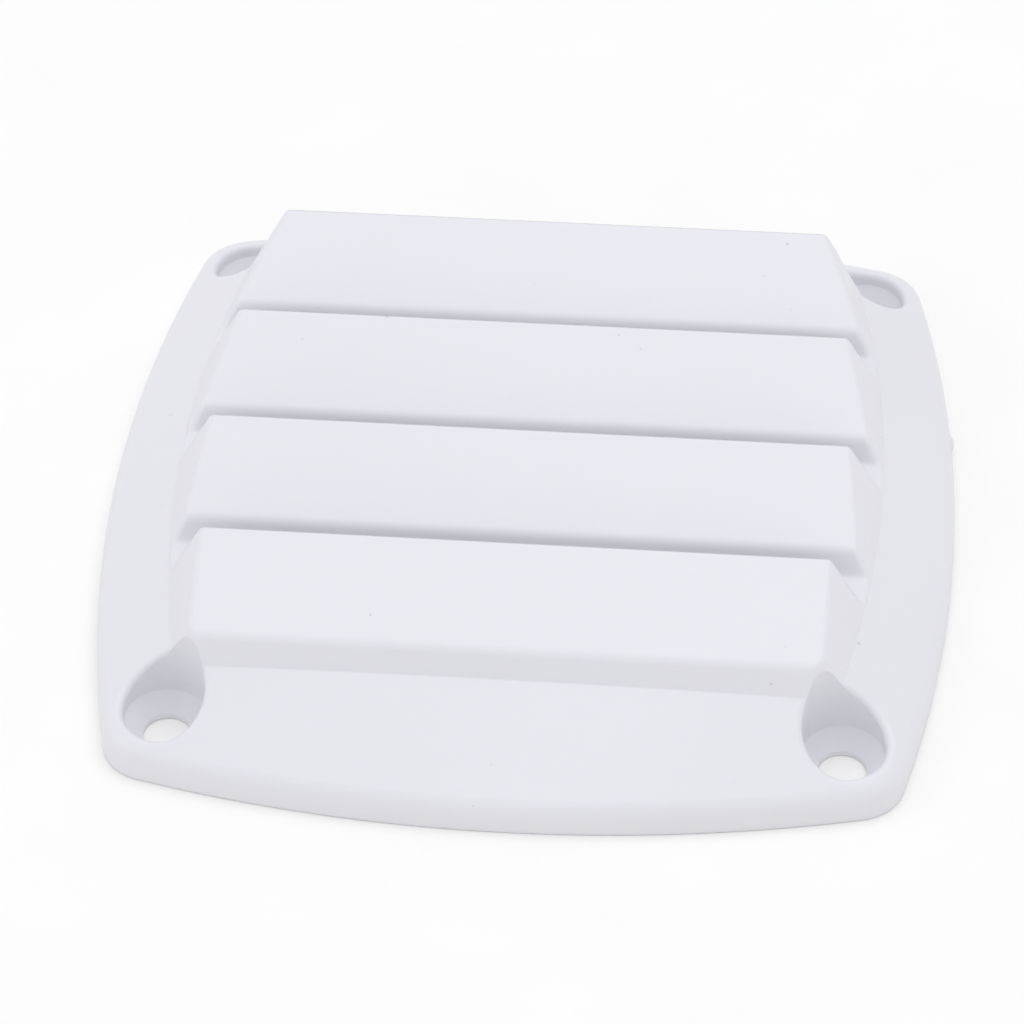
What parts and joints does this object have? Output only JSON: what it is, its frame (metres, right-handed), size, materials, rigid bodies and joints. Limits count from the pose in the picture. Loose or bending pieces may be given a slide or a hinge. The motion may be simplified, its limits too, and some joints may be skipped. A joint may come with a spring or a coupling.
{
  "type": "louvred vent cover",
  "caption": "Square louvred vent cover with a domed flange, recessed corner screw holes and an insect screen behind the louvres.",
  "frame": {"origin": "centre of the flange's mounting face, on the roof surface", "axes": "+Z away from the roof, +Y towards the side that the louvres open to, +X along the louvres"},
  "size_m": [0.127, 0.127, 0.0216],
  "materials": {
    "white_abs": "satin moulded white ABS",
    "screen_wire": "woven stainless wire",
    "frame_plastic": "satin white plastic",
    "screw_steel": "bright stainless"
  },
  "bodies": {
    "root": {"louvre_cover": "white_abs", "insect_screen": "screen_wire", "screen_frame": "frame_plastic", "screen_screws": "screw_steel"}
  },
  "joints": []
}
